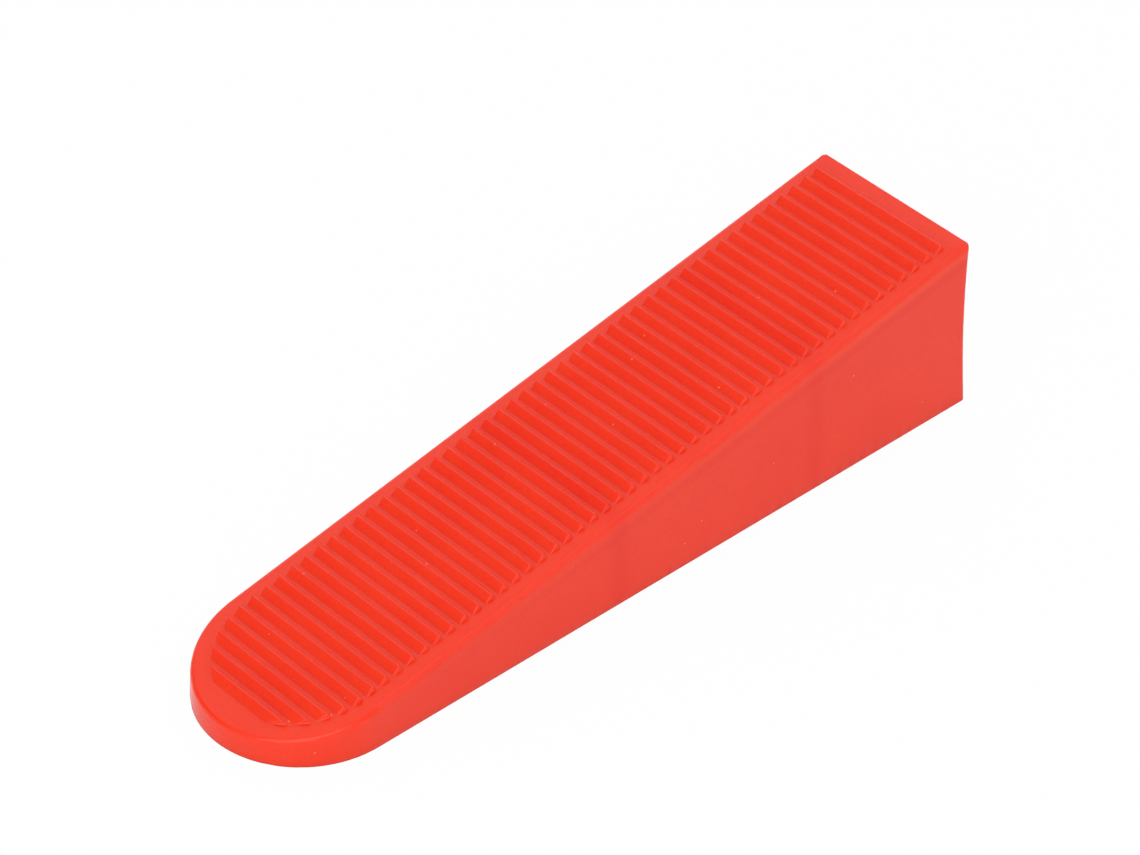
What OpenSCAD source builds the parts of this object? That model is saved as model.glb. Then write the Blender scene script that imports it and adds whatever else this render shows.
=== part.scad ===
// Ratchet wedge of a tile levelling set: one plastic moulding, hollow from below.
// The toe points to -X and the heel to +X, the base lies on z = 0, and the middle of the base
// is the origin. Lengths are in millimetres and angles in degrees.

/* [Body] */
// Length from the tip of the toe to the heel
length = 90; // [75:1:110]
// Width across the base; the toe is a half circle of this width
width = 22; // [18:0.5:28]
// Height of the ramp at the heel
heel_height = 19.8; // [16:0.1:26]
// Height of the ramp at the tip of the toe
toe_height = 2.7; // [2.2:0.1:4]
// Lean of the side and toe walls, which lets the part leave its mould
draft = 1.1; // [0.2:0.05:1.5]
// Radius of the rounded rim of the ramp
rim_round = 0.55; // [0.2:0.05:0.7]
// Radius of the rounded upright corners of the heel
heel_round = 0.5; // [0.2:0.05:0.8]
// Depth of the hollow across the heel face
heel_hollow = 0.36; // [0.1:0.02:0.8]
// Flat strip of the heel face above and below that hollow
heel_strip = 0.5; // [0.3:0.1:1.5]

/* [Core] */
// Thickness of the side, toe and heel walls
wall = 1.9; // [1.4:0.1:2.6]
// Thickness of the plate under the teeth
plate = 2; // [1.4:0.1:3]
// Thickness of the cross ribs
rib = 1.4; // [0.8:0.1:2.4]
// From the heel to the middle of the first rib
first_rib = 21.5; // [16:0.5:30]
// From the middle of one rib to the next
rib_spacing = 26.5; // [16:0.5:32]
// Ribs stand only where the core is at least this high
rib_least = 5; // [3:0.5:8]

/* [Teeth] */
// From one crest to the next, along the ramp
tooth_pitch = 1.7; // [1.4:0.05:2.5]
// Height of the teeth at the heel
tooth_at_heel = 0.5; // [0.3:0.02:0.7]
// Height of the teeth at the toe
tooth_at_toe = 0.61; // [0.3:0.02:0.7]
// Slope of the long face of a tooth, which looks to the toe
long_face = 28; // [20:1:40]
// Slope of the short face of a tooth, which looks to the heel
short_face = 72; // [45:1:80]
// Width of the flat along a crest
crest_flat = 0.08; // [0.04:0.02:0.2]
// From the heel edge to the first crest, along the ramp
first_crest = 2.45; // [1.6:0.05:6]
// Plain border beside the teeth
border = 2; // [1.5:0.1:4]
// Plain stretch from the last crest to the tip of the toe, at least
plain_toe = 3.4; // [2.6:0.1:8]

/* [Hidden] */
$fn = 96;
// Cutting shapes run this far past what they cut
over = 1;
// The hollow of the heel is so flat an arc that it takes more segments
heel_segments = 720;
edge_segments = 32;
// A rounded edge takes this share of its radius less than a tangent arc would
round_short = 0.03;
// Angle to the wall at which a rounded edge leaves its arc and runs out straight
edge_leave = 35;
// Tooth faces run on this far below the ramp, into the plate
tooth_bite = 0.05;
// Depth of the slab that carries the teeth inside the plate
tooth_root = plate / 2;

heel_x = length / 2;
toe_r = width / 2;
toe_x = toe_r - length / 2;
slope = atan((heel_height - toe_height) / length);
ramp_length = length / cos(slope);
lean = tan(draft);
heel_r = (pow(heel_height / 2 - heel_strip, 2) + pow(heel_hollow, 2)) / (2 * heel_hollow);

// Height of the ramp above the base at a place along the wedge
function ramp_z(x) = toe_height + (x + length / 2) * tan(slope);

// Rim of the ramp: half its width at the heel and at the toe's centre, where the round begins.
// The leaning walls draw it in towards the heel by a small angle.
toe_centre_s = (heel_x - toe_x) / cos(slope);
rim_at_heel = toe_r - heel_height * lean;
rim_at_toe = toe_r - ramp_z(toe_x) * lean;
rim_turn = atan((rim_at_toe - rim_at_heel) / toe_centre_s);
rim_r = rim_at_toe * cos(rim_turn);

// Straight length with a round toe, whose walls lean in from the base up
module leaning_block(inset, end_x, low, high) {
    function half(z) = toe_r - inset - z * lean;
    translate([toe_x, 0, 0]) {
        rotate([90, 0, 90])
            linear_extrude(end_x - toe_x)
                polygon([[-half(low), low], [half(low), low], [half(high), high], [-half(high), high]]);
        rotate([0, 0, 90])
            rotate_extrude(angle = 180)
                polygon([[0, low], [half(low), low], [half(high), high], [0, high]]);
    }
}

// All that lies below the ramp, or below a plane that is lower by a drop
module below_ramp(drop) {
    rotate([90, 0, 0])
        linear_extrude(2 * width, center = true)
            polygon([
                [-length, -heel_height], [length, -heel_height],
                [length, ramp_z(length) - drop], [-length, ramp_z(-length) - drop]
            ]);
}

// Frame of the ramp: x runs from the heel edge down to the toe, and z stands off the ramp
module on_ramp() {
    translate([heel_x, 0, heel_height])
        rotate([0, slope, 180])
            children();
}

// Hollow across the heel face, a flat arc from edge strip to edge strip
module heel_cut() {
    translate([heel_x + heel_r - heel_hollow, 0, heel_height / 2])
        rotate([90, 0, 0])
            cylinder(r = heel_r, h = 2 * width, center = true, $fn = heel_segments);
}

// What a rounded edge takes off a square corner at the origin, whose faces look to +x and +y.
// Its arc comes off the upper face and runs out straight into the other one.
module off_corner(r) {
    last = r * [cos(edge_leave), sin(edge_leave)];
    run_out = over / sin(edge_leave) * [sin(edge_leave), -cos(edge_leave)];
    translate([-1, -1] * r * (1 - round_short))
        difference() {
            polygon([[0, 0], last, last + run_out, [r + over, r + over], [0, r + over]]);
            circle(r = r, $fn = edge_segments);
        }
}

// Rounded rim, down both sides of the ramp and round its toe
module rim_cut() {
    translate([toe_centre_s, 0, 0]) {
        rotate([0, 0, -90 - rim_turn])
            rotate_extrude(angle = 180 + 2 * rim_turn)
                translate([rim_r, 0])
                    off_corner(rim_round);
        for (side = [0, 1])
            mirror([0, side, 0])
                rotate([0, 0, rim_turn])
                    translate([-toe_centre_s - over, 0, 0])
                        rotate([90, 0, 90])
                            linear_extrude(toe_centre_s + over)
                                translate([rim_r, 0])
                                    off_corner(rim_round);
    }
}

// Rounded upright corners of the heel, which follow its hollow and the lean of the walls
module heel_corner_cut() {
    sweep = 2 * asin((heel_height / 2 + over) / heel_r);
    for (side = [0, 1])
        mirror([0, side, 0])
            translate([heel_x + heel_r - heel_hollow, toe_r - heel_height / 2 * lean, heel_height / 2])
                rotate([draft - 90, 0, 0])
                    rotate([0, 0, 180 - sweep / 2])
                        rotate_extrude(angle = sweep, $fn = heel_segments)
                            translate([heel_r, 0])
                                mirror([1, 0])
                                    off_corner(heel_round);
}

// Core of the mould, which leaves the walls, the plate and the cross ribs
module core() {
    core_end = heel_x - heel_hollow - wall;
    core_drop = plate / cos(slope);
    rib_places = [
        for (x = [heel_x - first_rib : -rib_spacing : -heel_x])
            if (ramp_z(x) - core_drop >= rib_least) x
    ];
    difference() {
        intersection() {
            leaning_block(wall, core_end, -over, heel_height);
            below_ramp(core_drop);
        }
        for (x = rib_places)
            translate([x - rib / 2, -width / 2, -2 * over])
                cube([rib, width, heel_height + 2 * over]);
    }
}

// Ratchet teeth: long faces climb from the toe, short faces drop to the heel
tooth_count = floor((ramp_length - first_crest - plain_toe) / tooth_pitch) + 1;
function crest_s(i) = first_crest + i * tooth_pitch;
function tooth_height(i) = tooth_at_heel + (tooth_at_toe - tooth_at_heel) * crest_s(i) / ramp_length;
function short_top(i) = crest_s(i) - crest_flat / 2;
function long_top(i) = crest_s(i) + crest_flat / 2;
function short_foot(i) = short_top(i) - (tooth_height(i) + tooth_bite) / tan(short_face);
function long_foot(i) = long_top(i) + (tooth_height(i) + tooth_bite) / tan(long_face);

// Between two teeth: a strip of plain ramp, or the line where their faces meet
function valley(i) =
    let (
        rise = tooth_height(i) - tooth_height(i + 1),
        spread = long_top(i) * tan(long_face) + short_top(i + 1) * tan(short_face),
        s = (rise + spread) / (tan(long_face) + tan(short_face))
    )
    long_foot(i) < short_foot(i + 1)
        ? [[long_foot(i), -tooth_bite], [short_foot(i + 1), -tooth_bite]]
        : [[s, tooth_height(i) - (s - long_top(i)) * tan(long_face)]];

function tooth_section() =
    let (last = tooth_count - 1)
    concat(
        [[short_foot(0), -tooth_root], [short_foot(0), -tooth_bite]],
        [
            for (i = [0 : last])
                each concat(
                    [[short_top(i), tooth_height(i)], [long_top(i), tooth_height(i)]],
                    i < last ? valley(i) : []
                )
        ],
        [[long_foot(last), -tooth_bite], [long_foot(last), -tooth_root]]
    );

// Outline of the toothed field: straight sides and a round end, inside the plain border
module tooth_field() {
    field_r = toe_r - border;
    translate([0, -field_r])
        square([toe_centre_s, 2 * field_r]);
    translate([toe_centre_s, 0])
        circle(r = field_r);
}

module teeth() {
    on_ramp()
        intersection() {
            rotate([90, 0, 0])
                linear_extrude(width, center = true)
                    polygon(tooth_section());
            translate([0, 0, -plate])
                linear_extrude(plate + tooth_at_heel + tooth_at_toe)
                    tooth_field();
        }
}

module wedge() {
    color([0.95, 0.24, 0.17]) {
        difference() {
            intersection() {
                leaning_block(0, heel_x, 0, heel_height + over);
                below_ramp(0);
            }
            heel_cut();
            heel_corner_cut();
            on_ramp()
                rim_cut();
            core();
        }
        teeth();
    }
}

wedge();
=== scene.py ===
import math

import bmesh
import bpy
from mathutils import Matrix, Vector
from mathutils.geometry import tessellate_polygon


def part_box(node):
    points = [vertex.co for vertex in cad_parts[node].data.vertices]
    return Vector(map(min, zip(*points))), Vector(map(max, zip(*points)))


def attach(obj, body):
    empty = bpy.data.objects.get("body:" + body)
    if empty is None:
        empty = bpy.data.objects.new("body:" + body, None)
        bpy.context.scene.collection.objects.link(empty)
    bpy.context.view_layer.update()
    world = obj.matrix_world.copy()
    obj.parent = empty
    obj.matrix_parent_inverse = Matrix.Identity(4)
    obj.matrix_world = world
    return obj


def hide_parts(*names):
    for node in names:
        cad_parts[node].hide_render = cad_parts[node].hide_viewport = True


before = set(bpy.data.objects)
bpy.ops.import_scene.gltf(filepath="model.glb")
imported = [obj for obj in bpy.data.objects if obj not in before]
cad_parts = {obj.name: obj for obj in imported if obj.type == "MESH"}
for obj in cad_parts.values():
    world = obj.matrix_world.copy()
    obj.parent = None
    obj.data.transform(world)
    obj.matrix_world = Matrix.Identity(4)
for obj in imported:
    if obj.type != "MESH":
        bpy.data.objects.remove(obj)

scene = bpy.context.scene
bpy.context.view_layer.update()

# Red plastic of the whole wedge, a slightly translucent polypropylene coloured in the mass.
# The mould gives it four finishes: spark-eroded tooth faces, polished border and walls, a grained
# rim and a plain core. Their tones are partly painted light, brightest on the tooth faces, and the
# rim has a painted pale sheen. Painted shade and light show where the ribs and the plate lie, and a
# faint painted shade lies across the heel end.
MM = 0.001
low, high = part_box("wedge")
heel_height = 19.8 * MM
toe_height = 2.7 * MM
ramp_rise = (heel_height - toe_height) / (high[0] - low[0])
ramp_middle = toe_height - low[0] * ramp_rise
rib_places = (23.5 * MM, -3 * MM)
deep_red = (0.8, 0.017, 0.002, 1)
orange_red = (0.98, 0.08, 0.012, 1)
dust_and_sheen_pink = (0.95, 0.42, 0.33, 1)


class Wire:
    """A socket in a node tree. Sums with it add Math nodes, and make() adds any other node."""

    def __init__(self, tree, socket=None):
        self.tree = tree
        self.socket = socket

    def make(self, kind, settings=None, sockets=None, out=0):
        node = self.tree.nodes.new(kind)
        for name, value in (settings or {}).items():
            setattr(node, name, value)
        for name, value in (sockets or {}).items():
            if isinstance(value, Wire):
                self.tree.links.new(value.socket, node.inputs[name])
            else:
                node.inputs[name].default_value = value
        return Wire(self.tree, node.outputs[out] if len(node.outputs) else None)

    def of(self, name):
        """Another output of the same node."""
        return Wire(self.tree, self.socket.node.outputs[name])

    def math(self, operation, *others):
        values = dict(enumerate((self, *others)))
        return self.make("ShaderNodeMath", {"operation": operation}, values)

    def math_after(self, operation, first):
        return self.make("ShaderNodeMath", {"operation": operation}, {0: first, 1: self})

    def fade(self, start, end, before, after):
        """A smooth change from one amount to another while this value goes from start to end."""
        return self.make("ShaderNodeMapRange", {"interpolation_type": "SMOOTHSTEP"}, {
            "Value": self, "From Min": start, "From Max": end, "To Min": before, "To Max": after,
        })

    def __add__(self, other):
        return self.math("ADD", other)

    def __radd__(self, other):
        return self.math_after("ADD", other)

    def __sub__(self, other):
        return self.math("SUBTRACT", other)

    def __rsub__(self, other):
        return self.math_after("SUBTRACT", other)

    def __mul__(self, other):
        return self.math("MULTIPLY", other)

    def __rmul__(self, other):
        return self.math_after("MULTIPLY", other)

    def __truediv__(self, other):
        return self.math("DIVIDE", other)

    def __rtruediv__(self, other):
        return self.math_after("DIVIDE", other)


def plastic(name, roughness, tone_and_painted_light, grain, grain_depth, painted_sheen=0):
    """The plastic with one mould finish.

    Tone runs from deep to orange red and is partly painted light, set higher where faces want more
    light. Grain is the speckle of the colour and grain_depth that of the surface, and scuff is an
    even pale veil that paints a sheen.
    """
    material = bpy.data.materials.new(name)
    material.use_nodes = True
    material.node_tree.nodes.clear()
    paint = Wire(material.node_tree)
    spot = paint.make("ShaderNodeTexCoord").of("Object")
    place = paint.make("ShaderNodeSeparateXYZ", None, {0: spot})
    along = place.of("X")
    depth = along * ramp_rise + ramp_middle - place.of("Z")

    def noise(scale, detail):
        """Noise round zero."""
        sockets = {"Vector": spot, "Scale": scale, "Detail": detail}
        return paint.make("ShaderNodeTexNoise", None, sockets) - 0.5

    def strip(value, middle, core, reach, amount):
        """A soft strip round one value: full as far as its core, gone beyond its reach."""
        return (value - middle).math("ABSOLUTE").fade(core, reach, amount, 0)

    def rib_painted_shade(rib):
        """Painted shade: a darker strip across the wedge where a rib behind the plastic lets less light
        through.
        """
        return strip(along, middle=rib, core=0.3 * MM, reach=1.8 * MM, amount=-0.1)

    def specks(scale, share, radius, amount):
        """Round specks in a share of the cells of a random grid; the radius is a part of a cell."""
        grit = paint.make("ShaderNodeTexVoronoi", None, {"Vector": spot, "Scale": scale})
        chance = paint.make("ShaderNodeSeparateColor", None, {0: grit.of("Color")})
        return chance.math("LESS_THAN", share) * grit.fade(radius / 3, radius, amount, 0)

    def mix(share, first, second):
        """One colour that turns to another as the share goes from 0 to 1."""
        return paint.make("ShaderNodeMix", {"data_type": "RGBA"}, {0: share, 6: first, 7: second}, 2)

    cloud = noise(scale=110, detail=3)
    speckle = noise(scale=4200, detail=2)
    # Painted light in a band just under the rim, where light comes through the plate's edge, and
    # painted shade lower down where the plate ends over the hollow.
    painted_light_under_rim = strip(depth, middle=0.9 * MM, core=0.15 * MM, reach=0.6 * MM, amount=0.18)
    painted_shade_at_plate = strip(depth, middle=2.05 * MM, core=0.1 * MM, reach=0.9 * MM, amount=-0.12)
    # Painted shade in a faint strip across the heel end.
    heel_painted_shade = strip(along, middle=46 * MM, core=1 * MM, reach=5 * MM, amount=-0.05)
    # The painted light and shade under the rim grow towards the heel and fall to about nothing at the
    # toe; all painted light and shade then moves the red between deep and orange.
    toward_heel = along * 14 + 0.45
    painted_light_and_shade = rib_painted_shade(rib_places[0]) + rib_painted_shade(rib_places[1]) + heel_painted_shade
    painted_light_and_shade = painted_light_and_shade + (painted_light_under_rim + painted_shade_at_plate) * toward_heel
    red = mix(cloud * 0.25 + speckle * grain + painted_light_and_shade + tone_and_painted_light, deep_red, orange_red)
    # Pale specks of dirt and grit, plus the rim's even painted sheen, all turn the red pale pink.
    dust_and_sheen = specks(scale=420, share=0.5, radius=0.055, amount=0.4)
    grit = specks(scale=1300, share=0.6, radius=0.14, amount=grain * 0.09)
    dust_and_sheen = dust_and_sheen + grit + painted_sheen
    shader = paint.make("ShaderNodeBsdfPrincipled", None, {
        "Base Color": mix(dust_and_sheen, red, dust_and_sheen_pink),
        "Roughness": cloud * 0.12 + speckle * 0.2 + dust_and_sheen * 0.5 + roughness,
        "Normal": paint.make("ShaderNodeBump", None, {
            "Height": speckle, "Distance": grain_depth, "Strength": 1,
        }),
        "IOR": 1.49,
        "Specular IOR Level": 0.39,
        "Subsurface Weight": 0.7,
        "Subsurface Radius": (1.0, 0.12, 0.05),
        "Subsurface Scale": 1.3 * MM,
    })
    paint.make("ShaderNodeOutputMaterial", None, {"Surface": shader})
    return material


# The tooth faces' fuller red is partly painted light that brightens them.
tooth_red = plastic("spark_eroded_red", roughness=0.2, tone_and_painted_light=1.0, grain=1.6, grain_depth=0.02 * MM)
polished_red = plastic("polished_red", roughness=0.2, tone_and_painted_light=0.26, grain=0.3, grain_depth=0.0015 * MM)
core_red = plastic("core_red", roughness=0.4, tone_and_painted_light=0.26, grain=0.3, grain_depth=0.004 * MM)
# The rim's even pale veil is a painted sheen.
rim_red = plastic(
    "grained_rim_red", roughness=0.45, tone_and_painted_light=0.2, grain=0.4, grain_depth=0.006 * MM, painted_sheen=0.028
)

# Ratchet ramp, the working face of the wedge, moulded in one with the body.
# One tooth section is repeated down the ramp and drawn across it. The teeth stop at a border with
# a round end, their ends are upright with rounded edges, and the first tooth is a little lower.
heel_x = high[0]
half_width = high[1]
slope = math.atan(ramp_rise)
toe_x = low[0] + half_width
toe_centre = (heel_x - toe_x) / math.cos(slope)
tooth_pitch = 1.7 * MM
tooth_count = 51
first_crest = 2.5 * MM
first_height = 0.87
long_face = math.radians(36)
short_face = math.radians(72)
tooth_apex = 0.71 * MM
crest_round = 0.18 * MM
short_foot_round = 0.06 * MM
long_foot_round = 0.35 * MM
end_round = 0.12 * MM
border = 2 * MM
field_r = half_width - border
columns = 45
rows_past = 10
# Even part of the columns' spacing; the rest crowds them at the tooth ends
even_spacing = 0.02
# Nearer than this counts as the same place
hair = 0.001 * MM
ramp_weld = 0.0005 * MM


def rounded(before, corner, after, radius, steps):
    """Points of an arc that rounds a corner between two straight lines."""
    first = (before - corner).normalized()
    second = (after - corner).normalized()
    angle = first.angle(second)
    bisector = (first + second).normalized()
    centre = corner + bisector * (radius / math.sin(angle / 2))
    start = corner + first * (radius / math.tan(angle / 2)) - centre
    end = corner + second * (radius / math.tan(angle / 2)) - centre
    turn = start.angle(end)
    points = []
    for step in range(steps + 1):
        share = step / steps
        ahead = math.sin(share * turn) / math.sin(turn)
        behind = math.sin((1 - share) * turn) / math.sin(turn)
        points.append(centre + start * behind + end * ahead)
    return points


apex = Vector((0, 0, tooth_apex))
short_foot = Vector((-apex.z / math.tan(short_face), 0, 0))
long_foot = Vector((apex.z / math.tan(long_face), 0, 0))
ahead = Vector((MM, 0, 0))
tooth_section = (
    rounded(short_foot - ahead, short_foot, apex, short_foot_round, steps=3)
    + rounded(short_foot, apex, long_foot, crest_round, steps=6)
    + rounded(apex, long_foot, long_foot + ahead, long_foot_round, steps=4)
)
section_mesh = bpy.data.meshes.new("tooth_section")
section_mesh.from_pydata(tooth_section, [(i, i + 1) for i in range(len(tooth_section) - 1)], [])
ramp = bpy.data.objects.new("toothed_ramp", section_mesh)
scene.collection.objects.link(ramp)

last_crest = first_crest + (tooth_count - 1) * tooth_pitch
last_foot = last_crest + tooth_section[-1].x
tree = bpy.data.node_groups.new("ratchet_ramp", "GeometryNodeTree")
tree.interface.new_socket("Ramp", in_out="OUTPUT", socket_type="NodeSocketGeometry")
tree.interface.new_socket("Tooth section", in_out="INPUT", socket_type="NodeSocketGeometry")
ramp_sizes = {
    "Rows per tooth": len(tooth_section),
    "Teeth": tooth_count,
    "Rows past the teeth": rows_past,
    "Columns": columns,
    "Pitch": tooth_pitch,
    "First crest": first_crest,
    "First height": first_height,
    "Field radius": field_r,
    "Toe centre": toe_centre,
    "End angle": math.acos((last_foot - toe_centre) / field_r),
    "End rounding": end_round,
    "Slope": slope,
    "Heel place": heel_x,
    "Heel height": heel_height,
}
identifiers = {}
for name, value in ramp_sizes.items():
    kind = "NodeSocketInt" if isinstance(value, int) else "NodeSocketFloat"
    identifiers[name] = tree.interface.new_socket(name, in_out="INPUT", socket_type=kind).identifier

start = Wire(tree).make("NodeGroupInput")
size = {name: start.of(name) for name in ramp_sizes}
teeth_rows = size["Teeth"] * size["Rows per tooth"]
grid = start.make("GeometryNodeMeshGrid", None, {
    "Vertices X": teeth_rows + size["Rows past the teeth"],
    "Vertices Y": size["Columns"],
})

# Each grid point finds its row, its column and its point of the tooth section. Half a step or a
# small nudge keeps whole numbers clear of the rounding.
index = start.make("GeometryNodeInputIndex")
row = (index / size["Columns"] + 0.0001).math("FLOOR")
column = index - row * size["Columns"]
tooth = ((row + 0.5) / size["Rows per tooth"]).math("FLOOR")
section_point = start.make("GeometryNodeSampleIndex", {"data_type": "FLOAT_VECTOR"}, {
    "Geometry": start,
    "Value": start.make("GeometryNodeInputPosition"),
    "Index": row - tooth * size["Rows per tooth"] + 0.5,
})
section_split = start.make("ShaderNodeSeparateXYZ", None, {0: section_point})

# Places down the ramp: the teeth, and past them plain rows that close the round end.
crest = size["First crest"] + tooth * size["Pitch"]
past = (row + 0.5).math("GREATER_THAN", teeth_rows)
cap_share = (row - teeth_rows + 1) / size["Rows past the teeth"]
cap_turn = size["End angle"] * (1 - cap_share)
cap_place = size["Toe centre"] + size["Field radius"] * cap_turn.math("COSINE")
place = (crest + section_split.of("X")) * (1 - past) + cap_place * past
height_share = 1 - tooth.math("LESS_THAN", 0.5) * (1 - size["First height"])
tooth_top = section_split.of("Z") * height_share * (1 - past)

# Places across the ramp: a column keeps its distance to the field's edge, and the teeth drop
# to the border there over a rounded edge.
across = column / (size["Columns"] - 1) * 2 - 1
from_end = 1 - across.math("ABSOLUTE")
crowded = from_end * even_spacing + from_end.math("POWER", 3) * (1 - even_spacing)
inset = size["Field radius"] * crowded
off_edge = (size["End rounding"] - inset).math("MAXIMUM", 0)
arc = (size["End rounding"].math("POWER", 2) - off_edge.math("POWER", 2)).math("SQRT")
end_top = tooth_top - size["End rounding"] + arc
tooth_rise = end_top.math("MAXIMUM", 0) * inset.math("GREATER_THAN", hair)
into_toe = (place - size["Toe centre"]).math("MAXIMUM", 0)
reach = (size["Field radius"] - inset).math("POWER", 2) - into_toe.math("POWER", 2)
side_place = across.math("SIGN") * reach.math("MAXIMUM", 0).math("SQRT")
level_part = size["Slope"].math("COSINE")
fall_part = size["Slope"].math("SINE")
spot = start.make("ShaderNodeCombineXYZ", None, {
    "X": size["Heel place"] - place * level_part - tooth_rise * fall_part,
    "Y": side_place,
    "Z": size["Heel height"] - place * fall_part + tooth_rise * level_part,
})
moved = start.make("GeometryNodeSetPosition", None, {"Geometry": grid, "Position": spot})
welded = start.make("GeometryNodeMergeByDistance", None, {"Geometry": moved, "Distance": ramp_weld})
whole = start.make("GeometryNodeRealizeInstances", None, {"Geometry": welded})
finished = start.make("GeometryNodeSetMaterial", None, {"Geometry": whole, "Material": tooth_red})
start.make("NodeGroupOutput", None, {"Ramp": finished})

modifier = ramp.modifiers.new("teeth", "NODES")
modifier.node_group = tree
for name, value in ramp_sizes.items():
    modifier[identifiers[name]] = value
ramp_shown = ramp.evaluated_get(bpy.context.evaluated_depsgraph_get())
ramp_mesh = bpy.data.meshes.new_from_object(ramp_shown)
bpy.data.objects.remove(ramp)

# Moulded shell: border, rounded rim, leaning walls and hollowed heel, in one with the ramp.
# Stations round the outline each carry a profile from the teeth's edge over the rim and down
# the wall to the base, and neighbouring profiles are joined by faces.
lean = math.tan(math.radians(1.1))
toe_lean = math.tan(math.radians(3.5))
rim_round = 0.55 * MM
heel_edge_round = 0.15 * MM
border_fall = 0.14 * MM
heel_round = 0.5 * MM
heel_hollow = 0.36 * MM
heel_strip = 0.5 * MM
heel_arc = ((heel_height / 2 - heel_strip) ** 2 + heel_hollow ** 2) / (2 * heel_hollow)
base_round = 0.08 * MM
border_rows = (0.02, 0.1, 0.5)
rim_steps = 8
corner_steps = 8
wall_rows = 12
# Above 1, the rows of a wall crowd under the rim
wall_crowding = 1.8
tooth_finish, polished_finish, core_finish, rim_finish = range(4)


def ramp_z(x):
    return toe_height + (x - low[0]) * ramp_rise


def heel_face(z):
    """Place along X of the heel face, hollow between its two edge strips."""
    off = abs(z - heel_height / 2)
    if off > heel_height / 2 - heel_strip:
        return heel_x
    return heel_x + heel_arc - heel_hollow - math.sqrt(heel_arc ** 2 - off ** 2)


def side_wall(x, side):
    return lambda z: Vector((x, side * (half_width - z * lean), z))


def toe_wall(along, across):
    turn = math.atan2(across, along)

    def wall(z):
        reach = half_width - z * lean
        return Vector((toe_x - (reach - z * toe_lean) * math.cos(turn), reach * math.sin(turn), z))

    return wall


def heel_wall(share):
    return lambda z: Vector((heel_face(z), share * (half_width - z * lean - heel_round), z))


def beside_heel(x, side, share):
    """A side wall that comes to follow the hollow of the heel as share grows to 1."""
    def wall(z):
        return Vector((x + (heel_face(z) - heel_round - x) * share, side * (half_width - z * lean), z))

    return wall


def heel_corner(side, turn):
    def wall(z):
        x = heel_face(z) - heel_round + heel_round * math.sin(turn)
        y = half_width - z * lean - heel_round + heel_round * math.cos(turn)
        return Vector((x, side * y, z))

    return wall


def inside_of(foot):
    """A point of the base straight in from the foot of a wall."""
    x = min(max(foot.x, toe_x), heel_x - heel_round)
    if foot.x <= x:
        return Vector((x, 0, 0))
    return Vector((x, max(heel_round - half_width, min(half_width - heel_round, foot.y)), 0))


def top_of(wall, height, tries=6):
    """Where a wall meets a sloping plane, which a few tries close in on."""
    z = height(wall(0).x)
    for attempt in range(tries):
        z = height(wall(z).x)
    return z


body = bmesh.new()
body.from_mesh(ramp_mesh)
edge = next(e for e in body.edges if e.is_boundary)
loop = [edge.verts[0], edge.verts[1]]
while loop[-1] is not loop[0]:
    onward = [e for e in loop[-1].link_edges if e.is_boundary and loop[-2] not in e.verts]
    loop.append(onward[0].other_vert(loop[-1]))
loop.pop()

heel_side = max(vertex.co.x for vertex in loop)
stations = []
for vertex in loop:
    x, y, z = vertex.co
    side = 1 if y > 0 else -1
    at_heel = heel_side - x < hair
    if at_heel and field_r - abs(y) < hair:
        corner = [(vertex, side_wall(x, side), rim_round, border_fall)]
        for share in (0.25, 0.5, 0.75):
            corner.append((vertex, beside_heel(x, side, share), rim_round, border_fall))
        for step in range(corner_steps + 1):
            share = step / corner_steps
            radius = rim_round + (heel_edge_round - rim_round) * share
            corner.append((vertex, heel_corner(side, math.pi / 2 * share), radius, border_fall))
        before = loop[loop.index(vertex) - 1]
        stations += corner if heel_side - before.co.x > hair else corner[::-1]
    elif at_heel:
        stations.append((vertex, heel_wall(y / field_r), heel_edge_round, border_fall))
    elif x > toe_x + (z - ramp_z(toe_x)) * math.tan(slope):
        stations.append((vertex, side_wall(x, side), rim_round, border_fall))
    else:
        stations.append((vertex, toe_wall(toe_x - x, y), rim_round, border_fall * abs(y) / field_r))

outlines = []
for vertex, wall, radius, fall in stations:
    top = top_of(wall, ramp_z) - fall
    rim = rounded(vertex.co, wall(top), wall(top - MM), radius, rim_steps)
    points = [vertex.co.lerp(rim[0], share) for share in border_rows] + rim
    wall_height = rim[-1].z - base_round
    for step in range(1, wall_rows):
        points.append(wall(base_round + wall_height * (1 - (step / wall_rows) ** wall_crowding)))
    points += rounded(wall(MM), wall(0), inside_of(wall(0)), base_round, steps=3)
    outlines.append([vertex] + [body.verts.new(point) for point in points])
rim_first = 1 + len(border_rows)
rim_last = rim_first + rim_steps
for first, second in zip(outlines, outlines[1:] + outlines[:1]):
    for k in range(len(first) - 1):
        corners = [first[k], first[k + 1], second[k + 1], second[k]]
        if first[k] is second[k]:
            corners.pop()
        on_side_rim = rim_first <= k < rim_last and first[k].co.x > toe_x
        body.faces.new(corners).material_index = rim_finish if on_side_rim else polished_finish

# Hollow underside: three cells between the walls and two cross ribs, open at the base.
# The core leaves walls of even thickness and a plate under the teeth, with rounded corners.
wall_thick = 1.9 * MM
plate_thick = 2 * MM
rib_thick = 1.4 * MM
cell_round = 0.6 * MM
ceiling_round = 0.4 * MM
cell_corner_steps = 5
cell_toe_steps = 48
body_weld = 0.0002 * MM


def ceiling_z(x):
    return ramp_z(x) - plate_thick / math.cos(slope)


def cell_corner(x, side, toward, turn):
    """Wall of a cell at a rounded upright corner; toward is the way out of the cell along X."""
    def wall(z):
        reach = half_width - wall_thick - cell_round - z * lean
        along = cell_round * math.sin(turn) - cell_round
        return Vector((x + toward * along, side * (reach + cell_round * math.cos(turn)), z))

    outward = Vector((toward * math.sin(turn), side * math.cos(turn), 0))
    return wall, outward


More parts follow.
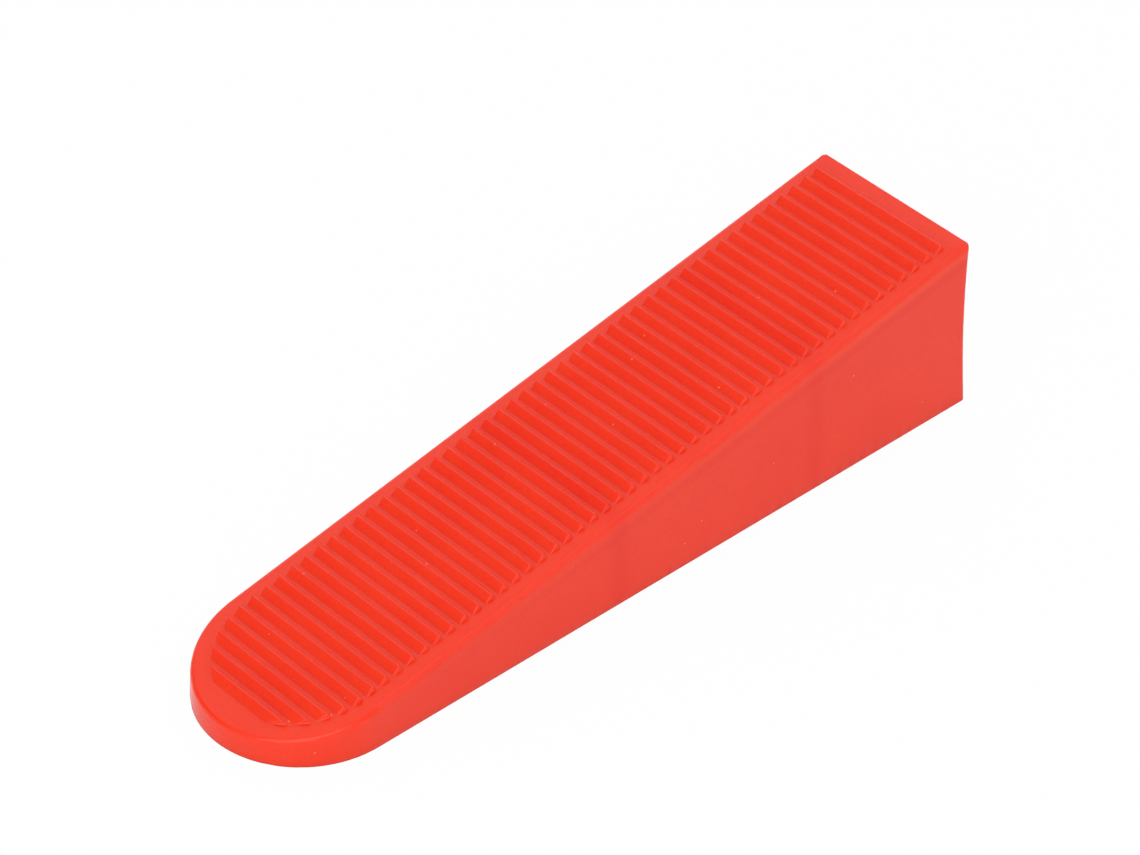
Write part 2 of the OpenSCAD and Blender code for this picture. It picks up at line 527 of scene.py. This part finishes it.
def cell_toe(turn):
    def wall(z):
        reach = half_width - wall_thick - z * lean
        return Vector((toe_x - reach * math.cos(turn), reach * math.sin(turn), z))

    return wall, Vector((-math.cos(turn), math.sin(turn), 0))


quarter = [math.pi / 2 * step / cell_corner_steps for step in range(cell_corner_steps + 1)]
half_turn = [math.pi / 2 - math.pi * step / cell_toe_steps for step in range(cell_toe_steps + 1)]
cells = []
heel_inside = heel_x - heel_hollow - wall_thick
for lower, upper in (
    (rib_places[0] + rib_thick / 2, heel_inside),
    (rib_places[1] + rib_thick / 2, rib_places[0] - rib_thick / 2),
    (None, rib_places[1] - rib_thick / 2),
):
    cell = [cell_corner(upper, -1, 1, turn) for turn in quarter]
    cell += [cell_corner(upper, 1, 1, turn) for turn in reversed(quarter)]
    if lower is None:
        cell += [cell_toe(turn) for turn in half_turn]
    else:
        cell += [cell_corner(lower, 1, -1, turn) for turn in quarter]
        cell += [cell_corner(lower, -1, -1, turn) for turn in reversed(quarter)]
    cells.append(cell)

base_loops = [[outline[-1] for outline in outlines]]
for cell in cells:
    rings = []
    for wall, outward in cell:
        top = top_of(wall, ceiling_z)
        inward = wall(top) - outward - Vector((0, 0, outward.x * math.tan(slope)))
        mouth = rounded(wall(0) + outward * MM, wall(0), wall(MM), base_round, steps=2)
        ceiling_edge = rounded(wall(0), wall(top), inward, ceiling_round, steps=4)
        rings.append([body.verts.new(point) for point in mouth + ceiling_edge])
    for first, second in zip(rings, rings[1:] + rings[:1]):
        for k in range(len(first) - 1):
            corners = [first[k], first[k + 1], second[k + 1], second[k]]
            body.faces.new(corners).material_index = core_finish
    body.faces.new([ring[-1] for ring in rings]).material_index = core_finish
    base_loops.append([ring[0] for ring in rings])
flat = [vertex for base_loop in base_loops for vertex in base_loop]
for corners in tessellate_polygon([[vertex.co for vertex in base_loop] for base_loop in base_loops]):
    body.faces.new([flat[k] for k in corners]).material_index = core_finish
bmesh.ops.remove_doubles(body, verts=body.verts, dist=body_weld)
bmesh.ops.recalc_face_normals(body, faces=body.faces)

# Finish of the ramp's faces: the mould's spark-eroded part makes the long faces and the ends of
# the teeth, and its polished part the short faces, the crests and the border.
# The spark-eroded part's fuller red also paints the long faces and the tooth ends lighter.
face_lean = slope + long_face
ramp_up = Vector((-math.sin(slope), 0, math.cos(slope)))
long_normal = Vector((-math.sin(face_lean), 0, math.cos(face_lean)))
long_spread = math.cos(math.radians(12))
steepest_up = 0.3
least_heelward = 0.2
for face in body.faces:
    face.smooth = True
    end_wall = face.normal.dot(ramp_up) < steepest_up and face.normal.x < least_heelward
    long_side = face.normal.dot(long_normal) > long_spread
    if face.material_index == tooth_finish and not end_wall and not long_side:
        face.material_index = polished_finish

# The wedge is one moulding, so ramp, shell and hollow make one closed mesh.
# Large faces lead its shading, which keeps flat walls flat beside their rounded edges.
wedge_mesh = bpy.data.meshes.new("moulded_wedge")
body.to_mesh(wedge_mesh)
body.free()
for material in (tooth_red, polished_red, core_red, rim_red):
    wedge_mesh.materials.append(material)
wedge = bpy.data.objects.new("moulded_wedge", wedge_mesh)
scene.collection.objects.link(wedge)
weigh = wedge.modifiers.new("face_normals", "WEIGHTED_NORMAL")
weigh.weight = 60
wedge_shown = wedge.evaluated_get(bpy.context.evaluated_depsgraph_get())
weighed = bpy.data.meshes.new_from_object(wedge_shown)
wedge.modifiers.remove(weigh)
wedge.data = weighed
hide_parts("wedge")
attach(wedge, "root")

# White table of a product photograph, a plain matte board that the wedge lies on.
# The camera sees it as pure white but for a trace of contact shadow, and the gloss sees it dimmer.
table_reach = 3
board_grey = (0.85, 0.85, 0.85, 1)
white = (1, 1, 1, 1)
camera_white = 0.97
mirrored_white = 0.35
table_mesh = bpy.data.meshes.new("white_table")
table_corners = [(x * table_reach, y * table_reach, 0) for x, y in ((-1, -1), (1, -1), (1, 1), (-1, 1))]
table_mesh.from_pydata(table_corners, [], [(0, 1, 2, 3)])
table = bpy.data.objects.new("white_table", table_mesh)
scene.collection.objects.link(table)
table_white = bpy.data.materials.new("table_white")
table_white.use_nodes = True
table_white.node_tree.nodes.clear()
board = Wire(table_white.node_tree)
matte = board.make("ShaderNodeBsdfDiffuse", None, {"Color": board_grey})
glow = board.make("ShaderNodeEmission", None, {"Color": white, "Strength": 1.0})
path = board.make("ShaderNodeLightPath")
mirrored = path.of("Is Glossy Ray").math("MAXIMUM", path.of("Is Transmission Ray"))
seen = (path.of("Is Camera Ray") * camera_white).math("MAXIMUM", mirrored * mirrored_white)
mixed = board.make("ShaderNodeMixShader", None, {0: seen, 1: matte, 2: glow})
board.make("ShaderNodeOutputMaterial", None, {"Surface": mixed})
table_mesh.materials.append(table_white)

# Studio light: a dim room with a white sweep below, and three soft panels behind the heel, beside
# the near wall and over the toe. A large soft box stands round the camera, so no shadow is in
# sight and the edges that face it shine.
room_light = 0.2
soft_box_width = 1.0
soft_box_power = 3.8
soft_box_way = Vector((-0.66, -0.4, 0.64))
soft_box_distance = 0.9
world = bpy.data.worlds.new("studio")
scene.world = world
world.use_nodes = True
room = Wire(world.node_tree)
compass = room.make("ShaderNodeTexCoord").of("Generated")


def patch_of_light(way, edge, full, amount):
    """Light from round one direction; the cosine off it runs from the patch's edge to its full part."""
    sockets = {0: compass, 1: way}
    toward = room.make("ShaderNodeVectorMath", {"operation": "DOT_PRODUCT"}, sockets, "Value")
    return toward.fade(edge, full, 0, amount)


behind = patch_of_light((0.5, 0.5, 0.71), edge=0.64, full=0.93, amount=0.88)
beside = patch_of_light((0.3, -0.72, 0.62), edge=0.5, full=0.9, amount=0.43)
over_toe = patch_of_light((-0.6, -0.1, 0.79), edge=0.6, full=0.95, amount=0.58)
sweep = patch_of_light((0, 0, -1), edge=-0.5, full=-0.15, amount=0.5)
strength = behind + beside + over_toe + sweep + room_light
backdrop = world.node_tree.nodes["Background"]
backdrop.inputs["Color"].default_value = white
world.node_tree.links.new(strength.socket, backdrop.inputs["Strength"])
lamp_data = bpy.data.lights.new("camera_soft_box", "AREA")
lamp_data.shape = "DISK"
lamp_data.size = soft_box_width
lamp_data.energy = soft_box_power
lamp = bpy.data.objects.new("camera_soft_box", lamp_data)
lamp.location = soft_box_way * soft_box_distance
lamp.rotation_euler = lamp.location.to_track_quat("Z", "Y").to_euler()
scene.collection.objects.link(lamp)

# Camera of the photograph: a long lens above the toe, which looks along the wedge to its heel.
# Its place, gaze, roll and lens were fitted to the outline and the teeth.
eye = Vector((-0.273548, -0.305288, 0.345499))
gaze = Vector((0.519343, 0.578758, -0.628746))
roll = math.radians(-0.1533)
camera_data = bpy.data.cameras.new("camera")
camera_data.sensor_width = 36
camera_data.sensor_fit = "HORIZONTAL"
camera_data.lens = 170.269
camera = bpy.data.objects.new("camera", camera_data)
level = gaze.to_track_quat("-Z", "Y").to_matrix().to_4x4()
camera.matrix_world = Matrix.Translation(eye) @ level @ Matrix.Rotation(roll, 4, "Z")
scene.collection.objects.link(camera)
scene.camera = camera
scene.view_settings.view_transform = "Standard"
